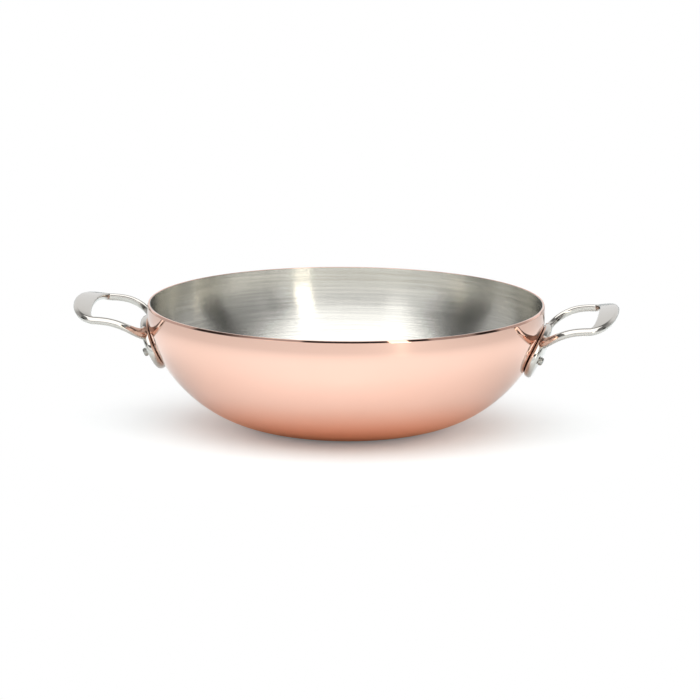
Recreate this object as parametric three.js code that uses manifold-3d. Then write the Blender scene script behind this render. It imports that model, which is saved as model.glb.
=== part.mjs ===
// A two-handled wok: a spun copper bowl with a bonded steel lining, and two cast loop handles that are
// riveted through the wall. Millimetres, +Z up, +X towards the right-hand handle, and the origin in the
// middle of the base's underside.

import * as THREE from 'three';
import { mergeVertices } from 'three/addons/utils/BufferGeometryUtils.js';
import Module from 'manifold-3d';

const wasm = await Module();
wasm.setup();

const { abs, asin, cos, max, sign, sin, PI } = Math;
const QUARTER_TURN = PI / 2;

// Bowl, measured on the outside of the copper
const RIM_RADIUS = 160;
const BASE_RADIUS = 52.5;
const SHOULDER_RADIUS = 62;
const SHOULDER_ANGLE = THREE.MathUtils.degToRad(25);
const BAND_HEIGHT = 9;
const COPPER_WALL = 1.8;
const LINING_WALL = 0.3;
const BOND_GAP = 0.1;

// Mounting plate of a handle, which follows the wall
const PLATE_WIDTH = 79;
const PLATE_HEIGHT = 39;
const PLATE_THICKNESS = 6.5;
const PLATE_DROP = 34.2;
const PLATE_SEAT = 0.3;
const PLATE_POINTEDNESS = 1.1;
const PLATE_BACK_ROUND = 1;
const PLATE_FRONT_ROUND = 3;

// Arms: from the plate they rise and spread to the knees, where the grip starts
const ARM_WIDTH = 6.4;
const ARM_THICKNESS = 5.4;
const ROOT_SPAN = 52;
const ROOT_RISE = 10.5;
const FLARE_SPAN = 100;
const FLARE_REACH = 4;
const BEND_SPAN = 106;
const BEND_REACH = 15;
const KNEE_SPAN = 102;
const KNEE_REACH = 38.8;
const KNEE_DROP = 9.5;
const ARM_SWEEP = 2.7;

// Grip: a broad band between the knees, arched and tipped up a little towards its outer edge
const HANDLE_REACH = 60;
const GRIP_WIDTH = 16.5;
const GRIP_THICKNESS = 5;
const GRIP_CROWN = 4.5;
const GRIP_TILT = THREE.MathUtils.degToRad(8);
const OUTER_CORNER = 17.5;
const OUTER_BOW = 22.5;
const INNER_CORNER = 3;
const INNER_BOW = 26;
const SECTION_SQUARENESS = 0.6;

// Rivets
const RIVET_SPACING = 56.5;
const RIVET_DROP = 35;
const SHANK_RADIUS = 2.6;
const SHANK_CLEARANCE = 0.3;
const HEAD_SEAT = 0.3;
const OUTER_HEAD_RADIUS = 3.8;
const OUTER_HEAD_HEIGHT = 3.2;
const INNER_HEAD_RADIUS = 5;
const INNER_HEAD_HEIGHT = 1.8;

// Fineness of the facets
const BOWL_SIDES = 60;
const BELLY_STEPS = 8;
const SHOULDER_STEPS = 3;
const LIP_STEPS = 4;
const PLATE_SIDES = 32;
const ROUND_STEPS = 2;
const FACE_SHARES = [0.25, 0.5, 0.75];
const ARM_STEPS = 8;
const GRIP_STEPS = 8;
const SECTION_SIDES = 12;
const RIVET_SIDES = 16;
const DOME_STEPS = 3;
const MERGE_DISTANCE = 1e-4;

// Worked out from the sizes above
const BELLY_RADIUS =
  (RIM_RADIUS - SHOULDER_RADIUS * (1 - cos(SHOULDER_ANGLE)) - BASE_RADIUS) / cos(SHOULDER_ANGLE);
const SHOULDER_TOP = SHOULDER_RADIUS * sin(SHOULDER_ANGLE) + BELLY_RADIUS * (1 - sin(SHOULDER_ANGLE));
const PAN_HEIGHT = SHOULDER_TOP + BAND_HEIGHT;
const LIP_RADIUS = COPPER_WALL / 2;
const LIP_BASE = PAN_HEIGHT - LIP_RADIUS;
const LINING_OUTSIDE = COPPER_WALL + BOND_GAP;
const LINING_INSIDE = LINING_OUTSIDE + LINING_WALL;
const PLATE_MIDDLE = PAN_HEIGHT - PLATE_DROP;
const PLATE_FRONT = PLATE_SEAT + PLATE_THICKNESS;
const RIVET_HEIGHT = PAN_HEIGHT - RIVET_DROP;

// Solids

/** Bends a sine or cosine: a power below 1 makes a round outline squarer, and above 1 more pointed. */
function bent(value, power) {
  return sign(value) * abs(value) ** power;
}

/** A closed solid from a geometry, with shared corners merged and empty triangles dropped. */
function solidOf(geometry) {
  const bare = geometry.clone();
  bare.deleteAttribute('normal');
  bare.deleteAttribute('uv');
  const merged = mergeVertices(bare, MERGE_DISTANCE);
  const corners = merged.index.array;
  const kept = [];
  for (let i = 0; i < corners.length; i += 3) {
    const [a, b, c] = corners.slice(i, i + 3);
    if (a !== b && b !== c && c !== a) kept.push(a, b, c);
  }
  return new wasm.Manifold(new wasm.Mesh({
    numProp: 3,
    vertProperties: merged.attributes.position.array,
    triVerts: new Uint32Array(kept),
  }));
}

/** The geometry of a solid. */
function geometryOf(solid) {
  const { vertProperties, triVerts } = solid.getMesh();
  const geometry = new THREE.BufferGeometry();
  geometry.setAttribute('position', new THREE.BufferAttribute(vertProperties, 3));
  geometry.setIndex(new THREE.BufferAttribute(triVerts, 1));
  geometry.computeVertexNormals();
  return geometry;
}

/** A closed skin over rings of equal length, in order along the piece, with a flat cap on each end. */
function skin(rings) {
  const sides = rings[0].length;
  const corners = [];
  for (let ring = 0; ring + 1 < rings.length; ring++) {
    for (let side = 0; side < sides; side++) {
      const a = ring * sides + side;
      const b = ring * sides + (side + 1) % sides;
      corners.push(a, b, a + sides, b, b + sides, a + sides);
    }
  }
  const last = (rings.length - 1) * sides;
  for (let side = 1; side + 1 < sides; side++) {
    corners.push(0, side + 1, side);
    corners.push(last, last + side, last + side + 1);
  }
  const geometry = new THREE.BufferGeometry().setFromPoints(rings.flat());
  geometry.setIndex(corners);
  return geometry;
}

// Bowl

/** Outline of the bowl from the axis to the lip, at an inset from the outside of the copper. */
function bowlProfile(inset) {
  const arc = (middleRadius, middleHeight, radius, fromLean, toLean, steps) =>
    Array.from({ length: steps }, (_, i) => {
      const lean = fromLean + (toLean - fromLean) * (i / steps);
      const reach = radius - inset;
      return new THREE.Vector2(middleRadius + reach * cos(lean), middleHeight - reach * sin(lean));
    });
  return [
    new THREE.Vector2(0, inset),
    ...arc(BASE_RADIUS, BELLY_RADIUS, BELLY_RADIUS, QUARTER_TURN, SHOULDER_ANGLE, BELLY_STEPS),
    ...arc(RIM_RADIUS - SHOULDER_RADIUS, SHOULDER_TOP, SHOULDER_RADIUS, SHOULDER_ANGLE, 0, SHOULDER_STEPS),
    new THREE.Vector2(RIM_RADIUS - inset, SHOULDER_TOP),
    new THREE.Vector2(RIM_RADIUS - inset, LIP_BASE),
  ];
}

/** A bowl between two insets, with the lip's points over its top edge. */
function bowlGeometry(outerInset, innerInset, lip = []) {
  const outline = [...bowlProfile(outerInset), ...lip, ...bowlProfile(innerInset).reverse()];
  return new THREE.LatheGeometry(outline, BOWL_SIDES).rotateX(QUARTER_TURN);
}

/** Points of the half-round lip between the outer and inner edge of the copper. */
function lipPoints() {
  return Array.from({ length: LIP_STEPS - 1 }, (_, i) => {
    const turn = PI * (i + 1) / LIP_STEPS;
    return new THREE.Vector2(
      RIM_RADIUS - LIP_RADIUS + LIP_RADIUS * cos(turn), LIP_BASE + LIP_RADIUS * sin(turn));
  });
}

/** Radius of the outside at a height, and its lean: the angle that its outward normal dips by. */
function wallAt(height) {
  if (height >= SHOULDER_TOP) return { radius: RIM_RADIUS, lean: 0 };
  const shoulderLean = asin((SHOULDER_TOP - height) / SHOULDER_RADIUS);
  if (shoulderLean <= SHOULDER_ANGLE) {
    return { radius: RIM_RADIUS - SHOULDER_RADIUS * (1 - cos(shoulderLean)), lean: shoulderLean };
  }
  const lean = asin((BELLY_RADIUS - height) / BELLY_RADIUS);
  return { radius: BASE_RADIUS + BELLY_RADIUS * cos(lean), lean };
}

/** Outward direction of the wall on the right-hand side, at a distance across and a height. */
function wallNormal(across, height) {
  const { radius, lean } = wallAt(height);
  const turn = asin(across / radius);
  return new THREE.Vector3(cos(lean) * cos(turn), cos(lean) * sin(turn), -sin(lean));
}

/** Point that stands off the wall on the right-hand side. */
function wallPoint(across, height, stand) {
  const { radius } = wallAt(height);
  const turn = asin(across / radius);
  const foot = new THREE.Vector3(radius * cos(turn), radius * sin(turn), height);
  return foot.addScaledVector(wallNormal(across, height), stand);
}

// Handle

/** The oval plate: rings from the middle of its back, round its edge, to the middle of its front. */
function plateGeometry() {
  const ring = (share, inset, stand) => Array.from({ length: PLATE_SIDES }, (_, i) => {
    const turn = 2 * PI * i / PLATE_SIDES;
    const across = share * (PLATE_WIDTH / 2 - inset) * bent(cos(turn), PLATE_POINTEDNESS);
    const rise = share * (PLATE_HEIGHT / 2 - inset) * bent(sin(turn), PLATE_POINTEDNESS);
    return wallPoint(across, PLATE_MIDDLE + rise, stand);
  });
  const rounding = (radius, stand, fromTurn) => Array.from({ length: ROUND_STEPS + 1 }, (_, i) => {
    const turn = fromTurn + QUARTER_TURN * i / ROUND_STEPS;
    return ring(1, radius * (1 - cos(turn)), stand + radius * sin(turn));
  });
  return skin([
    ring(0, PLATE_BACK_ROUND, PLATE_SEAT),
    ...FACE_SHARES.map((share) => ring(share, PLATE_BACK_ROUND, PLATE_SEAT)),
    ...rounding(PLATE_BACK_ROUND, PLATE_SEAT + PLATE_BACK_ROUND, -QUARTER_TURN),
    ...rounding(PLATE_FRONT_ROUND, PLATE_FRONT - PLATE_FRONT_ROUND, 0),
    ...FACE_SHARES.toReversed().map((share) => ring(share, PLATE_FRONT_ROUND, PLATE_FRONT)),
    ring(0, PLATE_FRONT_ROUND, PLATE_FRONT),
  ]);
}

const ROOT = wallPoint(ROOT_SPAN / 2, PLATE_MIDDLE + ROOT_RISE, PLATE_SEAT + PLATE_THICKNESS / 2);
const KNEE = new THREE.Vector3(RIM_RADIUS + KNEE_REACH, KNEE_SPAN / 2, PAN_HEIGHT - KNEE_DROP);
const GRIP_TIP = RIM_RADIUS + HANDLE_REACH;

/** Crown of the loop at a distance across: none at the knees. */
function crownAt(across) {
  return GRIP_CROWN * (1 - (across / KNEE.y) ** 2);
}

const ARM_DROP = KNEE.z + crownAt(ROOT.y) - ROOT.z;

/** A plan point of the loop, lifted to the height of the loop's middle surface. */
function lifted({ x, y }) {
  const inward = max(0, (KNEE.x - x) / (KNEE.x - ROOT.x));
  const outward = max(0, x - KNEE.x);
  const height = KNEE.z + crownAt(y) - ARM_DROP * inward ** ARM_SWEEP + Math.tan(GRIP_TILT) * outward;
  return new THREE.Vector3(x, y, height);
}

/** Plan stations of one arm and its half of the grip: a point on the outer edge and one on the inner. */
function halfLoop() {
  const arm = new THREE.CubicBezierCurve(
    new THREE.Vector2(ROOT.x, ROOT.y),
    new THREE.Vector2(RIM_RADIUS + FLARE_REACH, FLARE_SPAN / 2),
    new THREE.Vector2(RIM_RADIUS + BEND_REACH, BEND_SPAN / 2),
    new THREE.Vector2(KNEE.x, KNEE.y));
  const armStation = (share) => {
    const middle = arm.getPoint(share);
    const along = arm.getTangent(share);
    const offset = new THREE.Vector2(-along.y, along.x).multiplyScalar(ARM_WIDTH / 2);
    return { outer: middle.clone().add(offset), inner: middle.clone().sub(offset), thickness: ARM_THICKNESS };
  };
  const knee = armStation(1);
  const onward = arm.getTangent(1);
  const gripEdge = (start, corner, tip, bow) => new THREE.CubicBezierCurve(
    start,
    start.clone().addScaledVector(onward, corner),
    new THREE.Vector2(tip, bow),
    new THREE.Vector2(tip, 0));
  const outerEdge = gripEdge(knee.outer, OUTER_CORNER, GRIP_TIP, OUTER_BOW);
  const innerEdge = gripEdge(knee.inner, INNER_CORNER, GRIP_TIP - GRIP_WIDTH, INNER_BOW);
  const gripStation = (share) => ({
    outer: outerEdge.getPoint(share),
    inner: innerEdge.getPoint(share),
    thickness: ARM_THICKNESS + (GRIP_THICKNESS - ARM_THICKNESS) * share,
  });
  return [
    ...Array.from({ length: ARM_STEPS }, (_, i) => armStation(i / ARM_STEPS)),
    ...Array.from({ length: GRIP_STEPS + 1 }, (_, i) => gripStation(i / GRIP_STEPS)),
  ];
}

/** The loop: a softened band from one arm's root round the grip to the other's. */
function loopGeometry() {
  const half = halfLoop();
  const flip = ({ x, y }) => new THREE.Vector2(x, -y);
  const mirrored = half.slice(0, -1).reverse().map(
    ({ outer, inner, thickness }) => ({ outer: flip(outer), inner: flip(inner), thickness }));
  const stations = [...half, ...mirrored].map(({ outer, inner, thickness }) => {
    const middle = lifted(outer.clone().add(inner).multiplyScalar(0.5));
    return { middle, side: lifted(outer).sub(lifted(inner)).multiplyScalar(0.5), thickness };
  });
  return skin(stations.map(({ middle, side, thickness }, i) => {
    const before = stations[max(0, i - 1)].middle;
    const after = stations[Math.min(stations.length - 1, i + 1)].middle;
    const up = after.clone().sub(before).cross(side).setLength(thickness / 2);
    return Array.from({ length: SECTION_SIDES }, (_, k) => {
      const turn = 2 * PI * k / SECTION_SIDES;
      return middle.clone()
        .addScaledVector(side, bent(cos(turn), SECTION_SQUARENESS))
        .addScaledVector(up, bent(sin(turn), SECTION_SQUARENESS));
    });
  }));
}

// Rivets, modelled along +Y with the outside of the copper at zero, then set square to the wall

/** Moves a piece that stands along +Y to a rivet's place on the right-hand side of the wall. */
function atRivet(geometry, place) {
  const across = place * RIVET_SPACING / 2;
  const turn = new THREE.Quaternion().setFromUnitVectors(
    new THREE.Vector3(0, 1, 0), wallNormal(across, RIVET_HEIGHT));
  const foot = wallPoint(across, RIVET_HEIGHT, 0);
  return geometry.applyQuaternion(turn).translate(foot.x, foot.y, foot.z);
}

/** Points of a dome from its edge to its crown on the axis; a negative height points down. */
function domePoints(radius, base, height) {
  return Array.from({ length: DOME_STEPS + 1 }, (_, i) => {
    const turn = QUARTER_TURN * i / DOME_STEPS;
    const reach = i === DOME_STEPS ? 0 : radius * cos(turn);
    return new THREE.Vector2(reach, base + height * sin(turn));
  });
}

/** One rivet: domed outer head, shank, and a low inner head that is peened to the lining. */
function rivetGeometry(place) {
  const innerSeat = LINING_INSIDE + HEAD_SEAT;
  const shankEnd = innerSeat + INNER_HEAD_HEIGHT / 2;
  const outerSeat = PLATE_FRONT + HEAD_SEAT;
  const body = new THREE.LatheGeometry([
    new THREE.Vector2(0, -shankEnd),
    new THREE.Vector2(SHANK_RADIUS, -shankEnd),
    new THREE.Vector2(SHANK_RADIUS, outerSeat),
    ...domePoints(OUTER_HEAD_RADIUS, outerSeat, OUTER_HEAD_HEIGHT),
  ], RIVET_SIDES);
  const innerHead = new THREE.LatheGeometry([
    ...domePoints(INNER_HEAD_RADIUS, -innerSeat, -INNER_HEAD_HEIGHT).reverse(),
    new THREE.Vector2(INNER_HEAD_RADIUS, 0),
    new THREE.Vector2(0, 0),
  ], RIVET_SIDES);
  const wall = solidOf(bowlGeometry(0, innerSeat));
  const peened = solidOf(atRivet(innerHead, place)).subtract(wall);
  return geometryOf(solidOf(atRivet(body, place)).add(peened));
}

const RIVET_PLACES = [-1, 1];
const HOLE_LENGTH = 4 * PLATE_FRONT;

/** The rivet holes of one side, turned about the pan's axis. */
function rivetHoles(turn) {
  const radius = SHANK_RADIUS + SHANK_CLEARANCE;
  return RIVET_PLACES.map((place) => solidOf(
    atRivet(new THREE.CylinderGeometry(radius, radius, HOLE_LENGTH, RIVET_SIDES), place).rotateZ(turn)));
}

/** Drills the holes through a piece. */
function drilled(geometry, holes) {
  return geometryOf(holes.reduce((solid, hole) => solid.subtract(hole), solidOf(geometry)));
}

/** One handle on the right-hand side: plate and loop cast as one, drilled for its rivets. */
function handleGeometry() {
  const cast = solidOf(plateGeometry()).add(solidOf(loopGeometry()));
  return drilled(geometryOf(cast), rivetHoles(0));
}

// The pan, put together

const FINISHES = {
  copper: { color: 0xdb9a78, roughness: 0.12, metalness: 1 },
  brushedSteel: { color: 0xb9b6af, roughness: 0.34, metalness: 1 },
  polishedSteel: { color: 0xd8d7d3, roughness: 0.12, metalness: 1 },
};

/** A named mesh with a material of its own. */
function piece(name, geometry, finish) {
  const mesh = new THREE.Mesh(geometry, new THREE.MeshStandardMaterial(finish));
  mesh.name = name;
  return mesh;
}

/** A handle and its rivets, turned to one side of the pan; the front is the side towards -Y. */
function handleSet(sideName, turn) {
  const set = new THREE.Group();
  set.rotation.z = turn;
  set.add(piece(`handle_${sideName}`, handleGeometry(), FINISHES.polishedSteel));
  for (const place of RIVET_PLACES) {
    const end = place * cos(turn) < 0 ? 'front' : 'back';
    set.add(piece(`rivet_${sideName}_${end}`, rivetGeometry(place), FINISHES.polishedSteel));
  }
  return set;
}

const SIDES = { right: 0, left: PI };
const allHoles = Object.values(SIDES).flatMap(rivetHoles);

const wok = new THREE.Group();
const shell = drilled(bowlGeometry(0, COPPER_WALL, lipPoints()), allHoles);
const lining = drilled(bowlGeometry(LINING_OUTSIDE, LINING_INSIDE), allHoles);
wok.add(piece('copper_shell', shell, FINISHES.copper));
wok.add(piece('steel_lining', lining, FINISHES.brushedSteel));
for (const [sideName, turn] of Object.entries(SIDES)) wok.add(handleSet(sideName, turn));

export default wok;
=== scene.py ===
"""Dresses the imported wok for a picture.

Mirror-polished copper, a brushed steel lining, cast loop handles and rivets, in a plain pale studio.
Metres, +Z up, +X towards the right-hand handle.
"""

import logging
import math
from collections.abc import Callable
from dataclasses import dataclass, field
from enum import Enum
from functools import cache

import bmesh
import bpy
from bpy.types import Material, Node, NodeSocket, NodeTree, Object
from mathutils import Matrix, Vector
from mathutils.geometry import interpolate_bezier

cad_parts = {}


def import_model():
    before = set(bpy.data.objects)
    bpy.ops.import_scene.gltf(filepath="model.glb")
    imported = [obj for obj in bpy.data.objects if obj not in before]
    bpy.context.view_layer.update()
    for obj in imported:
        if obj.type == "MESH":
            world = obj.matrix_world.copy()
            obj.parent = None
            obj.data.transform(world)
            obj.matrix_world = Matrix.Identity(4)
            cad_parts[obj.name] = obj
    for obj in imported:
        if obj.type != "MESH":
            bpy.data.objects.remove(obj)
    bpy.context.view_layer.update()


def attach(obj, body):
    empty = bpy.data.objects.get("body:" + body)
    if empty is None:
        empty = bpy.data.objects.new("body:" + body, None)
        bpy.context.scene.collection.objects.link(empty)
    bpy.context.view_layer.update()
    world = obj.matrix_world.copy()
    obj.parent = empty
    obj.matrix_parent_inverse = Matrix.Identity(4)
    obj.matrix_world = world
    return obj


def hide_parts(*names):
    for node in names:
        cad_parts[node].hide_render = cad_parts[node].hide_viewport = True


LOG = logging.getLogger("wok")
BODY = "root"
MERGE_DISTANCE = 1e-6
SMOOTH_ANGLE = math.radians(35)
MIX_FIRST_COLOUR = 6
MIX_SECOND_COLOUR = 7
MIX_RESULT_COLOUR = 2

Colour = tuple[float, float, float, float]
Triple = tuple[float, float, float]
Value = NodeSocket | float | Colour | Vector

WHITE: Colour = (1.0, 1.0, 1.0, 1.0)
BLACK: Colour = (0.0, 0.0, 0.0, 1.0)
WARM_LIGHT: Triple = (1.0, 0.93, 0.78)


class Side(Enum):
    """The two sides that a handle sits on, with the turn from the right-hand side."""

    RIGHT = 0.0
    LEFT = math.pi


class Place(Enum):
    """The two rivets of a handle, with the sign of their place across the plate."""

    FRONT = -1
    BACK = 1


class Slot(Enum):
    """The record's material slots."""

    COPPER = "copper"
    BRUSHED_STEEL = "brushed_steel"
    POLISHED_STEEL = "polished_steel"


class Finisher(Enum):
    """The modifiers that finish a mesh."""

    BOOLEAN = "BOOLEAN"
    SHRINKWRAP = "SHRINKWRAP"
    SOLIDIFY = "SOLIDIFY"


class Easing(Enum):
    """The ways in which a ramp goes from one end to the other."""

    EVEN = "LINEAR"
    SMOOTH = "SMOOTHSTEP"


# Work on meshes


def focus(piece: Object) -> None:
    """Selects one object alone and makes it the active one.

    Args:
        piece: The object.
    """
    bpy.ops.object.select_all(action="DESELECT")
    piece.select_set(True)
    bpy.context.view_layer.objects.active = piece


def remove(piece: Object) -> None:
    """Deletes an object that was only a help."""
    focus(piece)
    bpy.ops.object.delete()


def new_piece(name: str) -> Object:
    """Names the object that an operator just made, and opens it in edit mode with everything selected.

    Args:
        name: The name of the piece.

    Returns:
        The new object.
    """
    piece = bpy.context.object
    piece.name = name
    piece.data.name = name
    focus(piece)
    bpy.ops.object.mode_set(mode="EDIT")
    bpy.ops.mesh.select_mode(type="VERT")
    bpy.ops.mesh.select_all(action="SELECT")
    return piece


def select_vertices(piece: Object, wanted: Callable[[Vector], bool]) -> None:
    """Selects, in edit mode, the vertices whose place passes a test, and what lies between them.

    Args:
        piece: The object in edit mode.
        wanted: The test on a vertex's place.
    """
    bpy.ops.mesh.select_mode(type="VERT")
    mesh = bmesh.from_edit_mesh(piece.data)
    for vertex in mesh.verts:
        vertex.select = wanted(vertex.co)
    mesh.select_flush_mode()
    mesh.select_flush(True)
    bmesh.update_edit_mesh(piece.data)


def extrude(way: Vector) -> None:
    """Extrudes what is selected in edit mode by a vector."""
    bpy.ops.mesh.extrude_region_move(TRANSFORM_OT_translate={"value": way})


def draw_chain(points: list[Vector]) -> None:
    """Draws a chain of edges in edit mode, starting from a plane that is merged to one vertex.

    Args:
        points: The chain's points in order.
    """
    bpy.ops.mesh.select_all(action="DESELECT")
    bpy.ops.mesh.primitive_plane_add(size=MERGE_DISTANCE, location=points[0])
    bpy.ops.mesh.merge(type="CENTER")
    for start, end in zip(points, points[1:]):
        extrude(end - start)


def close_mesh(piece: Object) -> None:
    """Leaves edit mode with doubled vertices merged and every face turned outwards.

    Args:
        piece: The object in edit mode.
    """
    bpy.ops.mesh.select_all(action="SELECT")
    bpy.ops.mesh.remove_doubles(threshold=MERGE_DISTANCE)
    bpy.ops.mesh.normals_make_consistent(inside=False)
    bpy.ops.object.mode_set(mode="OBJECT")
    focus(piece)


def finish_with(piece: Object, finisher: Finisher, **settings: object) -> None:
    """Adds a modifier to a piece and applies it.

    Args:
        piece: The piece to finish.
        finisher: The kind of modifier.
        settings: The modifier's own settings.
    """
    focus(piece)
    modifier = piece.modifiers.new(finisher.name.lower(), finisher.value)
    for name, value in settings.items():
        setattr(modifier, name, value)
    bpy.ops.object.modifier_apply(modifier=modifier.name)


def turn_to(piece: Object, side: Side) -> None:
    """Turns a piece of the right-hand side about the pan's axis, in its mesh."""
    piece.data.transform(Matrix.Rotation(side.value, 4, "Z"))


def copy_of(piece: Object, name: str) -> Object:
    """A copy of a piece, with a mesh of its own.

    Args:
        piece: The piece to copy.
        name: The copy's name.

    Returns:
        The copy.
    """
    focus(piece)
    bpy.ops.object.duplicate(linked=False)
    copy = bpy.context.object
    copy.name = name
    copy.data.name = name
    return copy


def hand_over(piece: Object, material: Material, node: str) -> None:
    """Dresses a finished piece, puts it on the pan's body and lets it stand for its CAD node.

    Args:
        piece: The finished piece.
        material: Its finish.
        node: The CAD node that it stands for.
    """
    focus(piece)
    bpy.ops.object.shade_smooth_by_angle(angle=SMOOTH_ANGLE)
    piece.data.materials.clear()
    piece.data.materials.append(material)
    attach(piece, BODY)
    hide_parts(node)
    LOG.info("%s stands for %s, %d faces", piece.name, node, len(piece.data.polygons))


class ProfilePen:
    """Draws a section in the XZ plane by extruding and spinning one vertex, then turns it about the axis."""

    def __init__(self, name: str, start: Vector) -> None:
        """Puts the pen down.

        Args:
            name: The name of the piece to draw.
            start: The section's first point.
        """
        bpy.ops.object.select_all(action="DESELECT")
        bpy.ops.mesh.primitive_plane_add(size=MERGE_DISTANCE)
        self.piece = new_piece(name)
        bpy.ops.mesh.merge(type="CENTER")
        bpy.ops.transform.translate(value=start)
        self.point = start

    def line_to(self, point: Vector) -> None:
        """Draws a straight stretch to a point."""
        extrude(point - self.point)
        self.point = point

    def arc(self, centre: Vector, angle: float, steps: int) -> None:
        """Draws an arc of chords round a centre; a positive angle goes up the outside of a bowl."""
        bpy.ops.mesh.spin(steps=steps, angle=angle, center=centre, axis=(0, 1, 0))
        self.point = centre + Matrix.Rotation(-angle, 3, "Y") @ (self.point - centre)

    def turn(self, sides: int) -> Object:
        """Turns the section once round the Z axis.

        Args:
            sides: The number of sides of the round.

        Returns:
            The closed piece.
        """
        bpy.ops.mesh.select_all(action="SELECT")
        bpy.ops.mesh.spin(steps=sides, angle=2 * math.pi, center=(0, 0, 0), axis=(0, 0, 1))
        close_mesh(self.piece)
        return self.piece


# Finishes


class NodeSheet:
    """A node tree, with short calls to add nodes and join them."""

    def __init__(self, tree: NodeTree) -> None:
        """Empties a node tree and keeps it for drawing on."""
        self.tree = tree
        tree.nodes.clear()

    def add(self, kind: str, *values: Value, **settings: object) -> Node:
        """Adds a node.

        Args:
            kind: The node's type.
            values: What goes into its first inputs, in order.
            settings: Its properties, apart from its sockets.

        Returns:
            The node.
        """
        node = self.tree.nodes.new(kind)
        for name, value in settings.items():
            setattr(node, name, value)
        for value, target in zip(values, node.inputs):
            self.join(value, target)
        return node

    def join(self, source: Value, target: NodeSocket) -> None:
        """Links a socket to another, or sets a plain value on it.

        Args:
            source: An output, or a value.
            target: The input that takes it.
        """
        if isinstance(source, NodeSocket):
            self.tree.links.new(source, target)
        else:
            target.default_value = source

    def place(self) -> NodeSocket:
        """Where a point lies on its object."""
        return self.add("ShaderNodeTexCoord").outputs["Object"]

    def math(self, operation: str, *values: Value) -> NodeSocket:
        """The result of one step of arithmetic."""
        return self.add("ShaderNodeMath", *values, operation=operation).outputs[0]

    def vector(self, operation: str, *values: Value) -> NodeSocket:
        """The vector that one step of vector arithmetic gives."""
        return self.add("ShaderNodeVectorMath", *values, operation=operation).outputs[0]

    def length(self, vector: NodeSocket) -> NodeSocket:
        """The length of a vector."""
        return self.add("ShaderNodeVectorMath", vector, operation="LENGTH").outputs["Value"]

    def split(self, vector: NodeSocket) -> tuple[NodeSocket, ...]:
        """The three parts of a vector."""
        return tuple(self.add("ShaderNodeSeparateXYZ", vector).outputs)

    def combine(self, *parts: NodeSocket) -> NodeSocket:
        """A vector from its parts."""
        return self.add("ShaderNodeCombineXYZ", *parts).outputs[0]

    def lay(self, share: NodeSocket, under: NodeSocket, over: NodeSocket) -> NodeSocket:
        """One shader laid over another, by a share of it."""
        return self.add("ShaderNodeMixShader", share, under, over).outputs[0]

    def ramp(
        self, value: NodeSocket, low: float, high: float, from_value: float, to_value: float,
        easing: Easing = Easing.SMOOTH,
    ) -> NodeSocket:
        """Maps the range from low to high on to another, whose ends hold beyond it."""
        limits = (low, high, from_value, to_value)
        return self.add("ShaderNodeMapRange", value, *limits, interpolation_type=easing.value).outputs[0]

    def noise(self, vector: NodeSocket, scale: float, octaves: float, grain: float = 0.5) -> NodeSocket:
        """The value of a noise.

        Args:
            vector: Where it is read.
            scale: Its fineness.
            octaves: Its octaves.
            grain: The weight of the finer octaves.

        Returns:
            The value's socket.
        """
        node = self.add("ShaderNodeTexNoise")
        self.join(vector, node.inputs["Vector"])
        self.join(scale, node.inputs["Scale"])
        self.join(octaves, node.inputs["Detail"])
        self.join(grain, node.inputs["Roughness"])
        return node.outputs[0]

    def between(self, share: NodeSocket, first: Value, second: Value) -> NodeSocket:
        """A colour between two.

        Args:
            share: How far to go from the first to the second.
            first: The colour at 0.
            second: The colour at 1.

        Returns:
            The colour's socket.
        """
        node = self.add("ShaderNodeMix", share, data_type="RGBA")
        self.join(first, node.inputs[MIX_FIRST_COLOUR])
        self.join(second, node.inputs[MIX_SECOND_COLOUR])
        return node.outputs[MIX_RESULT_COLOUR]

    def bump(self, height: NodeSocket, distance: float, strength: float) -> NodeSocket:
        """A normal that follows a height.

        Args:
            height: The height's socket.
            distance: The height of 1, in metres.
            strength: The share of the bump that shows.

        Returns:
            The normal's socket.
        """
        node = self.add("ShaderNodeBump")
        self.join(strength, node.inputs["Strength"])
        self.join(distance, node.inputs["Distance"])
        self.join(height, node.inputs["Height"])
        return node.outputs[0]


def new_material(name: str) -> tuple[Material, NodeSheet, Node]:
    """A material with a metal shader that is joined to its output.

    Args:
        name: The finish's name.

    Returns:
        The material, its node sheet and its shader.
    """
    material = bpy.data.materials.new(name)
    material.use_nodes = True
    sheet = NodeSheet(material.node_tree)
    shader = sheet.add("ShaderNodeBsdfPrincipled")
    sheet.add("ShaderNodeOutputMaterial", shader.outputs[0])
    shader.inputs["Metallic"].default_value = 1.0
    return material, sheet, shader


def turned_coordinates(sheet: NodeSheet, along: float, across: float) -> NodeSocket:
    """Coordinates in which a noise stretches round the Z axis, as the marks of a turned piece do.

    Args:
        sheet: The sheet to draw on.
        along: The fineness round the axis.
        across: The fineness up the wall, per metre.

    Returns:
        The coordinates' socket.
    """
    right, back, up = sheet.split(sheet.place())
    flat = sheet.combine(right, back)
    reach = sheet.math("ADD", sheet.length(flat), up)
    heading = sheet.split(sheet.vector("NORMALIZE", flat))
    return sheet.combine(
        sheet.math("MULTIPLY", heading[0], along),
        sheet.math("MULTIPLY", heading[1], along),
        sheet.math("MULTIPLY", reach, across))


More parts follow.
